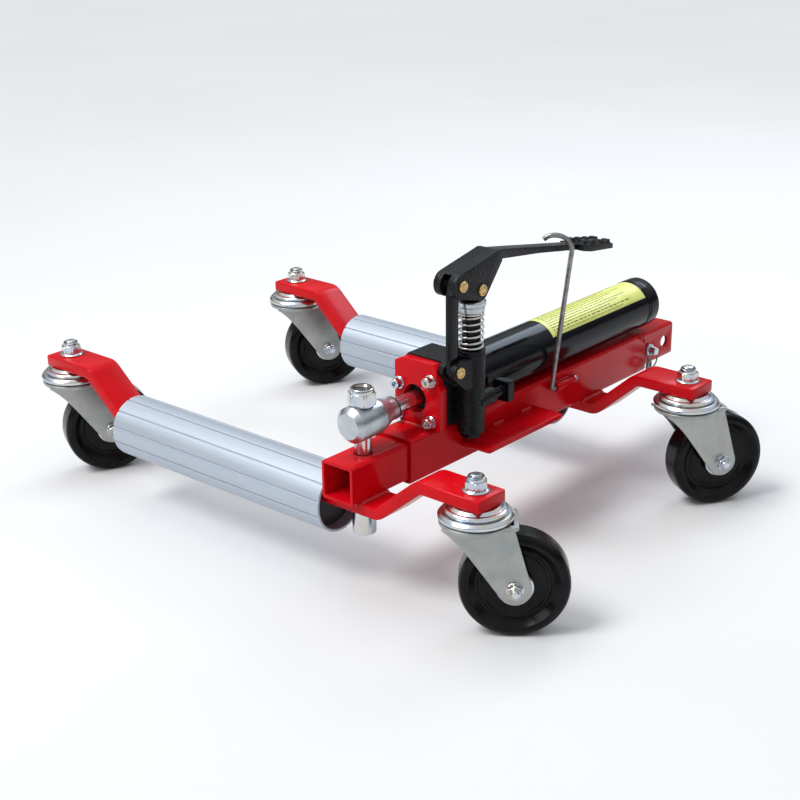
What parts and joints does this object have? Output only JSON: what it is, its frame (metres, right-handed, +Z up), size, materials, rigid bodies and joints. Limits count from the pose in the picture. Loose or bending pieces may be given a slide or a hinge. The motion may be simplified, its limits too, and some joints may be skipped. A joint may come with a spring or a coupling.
{
  "type": "wheel dolly",
  "caption": "Low hydraulic wheel dolly: two roller arms on a telescopic beam, a foot pump with a pull ram, and a swivel caster at each corner.",
  "frame": {"origin": "on the floor, under the middle of the dolly's outline", "axes": "+X along the telescopic beam from the near arm to the far arm, +Y from the operator's side along the rollers, +Z up"},
  "size_m": [0.5469, 0.6656, 0.305],
  "materials": {
    "red_paint": "bright red gloss paint",
    "black_casting": "black painted casting",
    "black_paint": "gloss black paint",
    "roller_aluminium": "drawn, satin",
    "bush_nylon": "moulded nylon",
    "wheel_black": "moulded, semi-gloss",
    "zinc_sheet": "zinc plated pressed steel",
    "zinc_hardware": "bright zinc plated",
    "brass_pins": "yellow passivated",
    "label_film": "blank yellow-green film",
    "seal_rubber": "matt",
    "chromed_rod": "hard chrome",
    "plain_steel": "honed"
  },
  "bodies": {
    "frame": {"outer_tube": "red_paint", "bracket_plate": "red_paint", "ledge_plate": "red_paint", "hook_tube": "red_paint", "far_arm": "red_paint", "far_bushes": "bush_nylon", "pump_block": "black_casting", "reservoir": "black_paint", "pressure_tube": "plain_steel", "end_cap": "black_paint", "filler_plug": "seal_rubber", "mount_screws": "zinc_hardware", "label": "label_film", "link_pin": "brass_pins", "return_spring": "zinc_hardware", "raceway_far_pump": "zinc_sheet", "kingpin_far_pump": "zinc_hardware", "raceway_far_outer": "zinc_sheet", "kingpin_far_outer": "zinc_hardware"},
    "near_carriage": {"inner_tube": "red_paint", "near_arm": "red_paint", "pin_boss": "zinc_hardware", "near_bushes": "bush_nylon", "ram_eye": "zinc_hardware", "piston_rod": "chromed_rod", "seal_ring": "seal_rubber", "ram_pin": "zinc_hardware", "ram_pin_nut": "zinc_hardware", "raceway_near_pump": "zinc_sheet", "kingpin_near_pump": "zinc_hardware", "raceway_near_outer": "zinc_sheet", "kingpin_near_outer": "zinc_hardware"},
    "lock_pin_body": {"lock_pin": "zinc_hardware", "lock_ring": "zinc_hardware"},
    "near_roller_body": {"near_roller": "roller_aluminium"},
    "far_roller_body": {"far_roller": "roller_aluminium"},
    "link_body": {"link_bar": "black_paint"},
    "pedal_body": {"pedal": "black_casting", "pedal_pins": "brass_pins"},
    "plunger_body": {"plunger": "chromed_rod", "spring_cap": "zinc_hardware"},
    "release_body": {"release_knob": "black_paint"},
    "hook_body": {"wire_hook": "zinc_hardware", "hook_cap": "zinc_hardware"},
    "caster_near_pump": {"fork_near_pump": "zinc_sheet", "axle_near_pump": "zinc_hardware"},
    "wheel_body_near_pump": {"wheel_near_pump": "wheel_black"},
    "caster_far_pump": {"fork_far_pump": "zinc_sheet", "axle_far_pump": "zinc_hardware"},
    "wheel_body_far_pump": {"wheel_far_pump": "wheel_black"},
    "caster_near_outer": {"fork_near_outer": "zinc_sheet", "axle_near_outer": "zinc_hardware"},
    "wheel_body_near_outer": {"wheel_near_outer": "wheel_black"},
    "caster_far_outer": {"fork_far_outer": "zinc_sheet", "axle_far_outer": "zinc_hardware"},
    "wheel_body_far_outer": {"wheel_far_outer": "wheel_black"}
  },
  "joints": [
    {"name": "near_carriage_slide", "type": "slide", "parent": "frame", "child": "near_carriage", "axis": [1, 0, 0], "range_m": [0, 0.028]},
    {"name": "lock_pin_pull", "type": "slide", "parent": "near_carriage", "child": "lock_pin_body", "axis": [0, -1, 0], "range_m": [0, 0.06]},
    {"name": "near_roller_spin", "type": "hinge", "parent": "near_carriage", "child": "near_roller_body", "pos_m": [-0.2375, -0.022, 0.0805], "axis": [0, 1, 0], "continuous": true},
    {"name": "far_roller_spin", "type": "hinge", "parent": "frame", "child": "far_roller_body", "pos_m": [0.1105, -0.022, 0.0805], "axis": [0, 1, 0], "continuous": true},
    {"name": "link_swing", "type": "hinge", "parent": "frame", "child": "link_body", "pos_m": [-0.1465, -0.159, 0.198], "axis": [0, 1, 0], "range_deg": [0, 2]},
    {"name": "pedal_press", "type": "hinge", "parent": "link_body", "child": "pedal_body", "pos_m": [-0.1465, -0.159, 0.2825], "axis": [0, 1, 0], "range_deg": [0, 11], "stiffness_Nm_per_rad": 6, "springref_deg": -20.05},
    {"name": "plunger_stroke", "type": "slide", "parent": "frame", "child": "plunger_body", "axis": [0, 0, -1], "range_m": [0, 0.0064], "deforming": ["return_spring"]},
    {"name": "release_turn", "type": "hinge", "parent": "frame", "child": "release_body", "pos_m": [-0.0875, -0.165, 0.16], "axis": [1, 0, 0], "range_deg": [0, 90]},
    {"name": "hook_swing", "type": "hinge", "parent": "frame", "child": "hook_body", "pos_m": [0.0475, -0.149, 0.1255], "axis": [1, 0, 0], "range_deg": [0, 90]},
    {"name": "swivel_near_pump", "type": "hinge", "parent": "near_carriage", "child": "caster_near_pump", "pos_m": [-0.2375, -0.26, 0.11], "axis": [0, 0, 1], "continuous": true},
    {"name": "wheel_spin_near_pump", "type": "hinge", "parent": "caster_near_pump", "child": "wheel_body_near_pump", "pos_m": [-0.21594, -0.28681, 0.05], "axis": [-0.7793, -0.6266, 0], "continuous": true},
    {"name": "swivel_far_pump", "type": "hinge", "parent": "frame", "child": "caster_far_pump", "pos_m": [0.1105, -0.26, 0.11], "axis": [0, 0, 1], "continuous": true},
    {"name": "wheel_spin_far_pump", "type": "hinge", "parent": "caster_far_pump", "child": "wheel_body_far_pump", "pos_m": [0.13977, -0.27808, 0.05], "axis": [-0.5255, -0.8508, 0], "continuous": true},
    {"name": "swivel_near_outer", "type": "hinge", "parent": "near_carriage", "child": "caster_near_outer", "pos_m": [-0.2375, 0.299, 0.11], "axis": [0, 0, 1], "continuous": true},
    {"name": "wheel_spin_near_outer", "type": "hinge", "parent": "caster_near_outer", "child": "wheel_body_near_outer", "pos_m": [-0.20653, 0.28403, 0.05], "axis": [-0.4352, -0.9003, 0], "continuous": true},
    {"name": "swivel_far_outer", "type": "hinge", "parent": "frame", "child": "caster_far_outer", "pos_m": [0.1105, 0.299, 0.11], "axis": [0, 0, 1], "continuous": true},
    {"name": "wheel_spin_far_outer", "type": "hinge", "parent": "caster_far_outer", "child": "wheel_body_far_outer", "pos_m": [0.1405, 0.28216, 0.05], "axis": [-0.4894, -0.8721, 0], "continuous": true}
  ],
  "couplings": [
    {"joint": "link_swing", "follows": "pedal_press", "ratio": 0.17},
    {"joint": "plunger_stroke", "follows": "pedal_press", "m_per_rad": 0.0324}
  ]
}
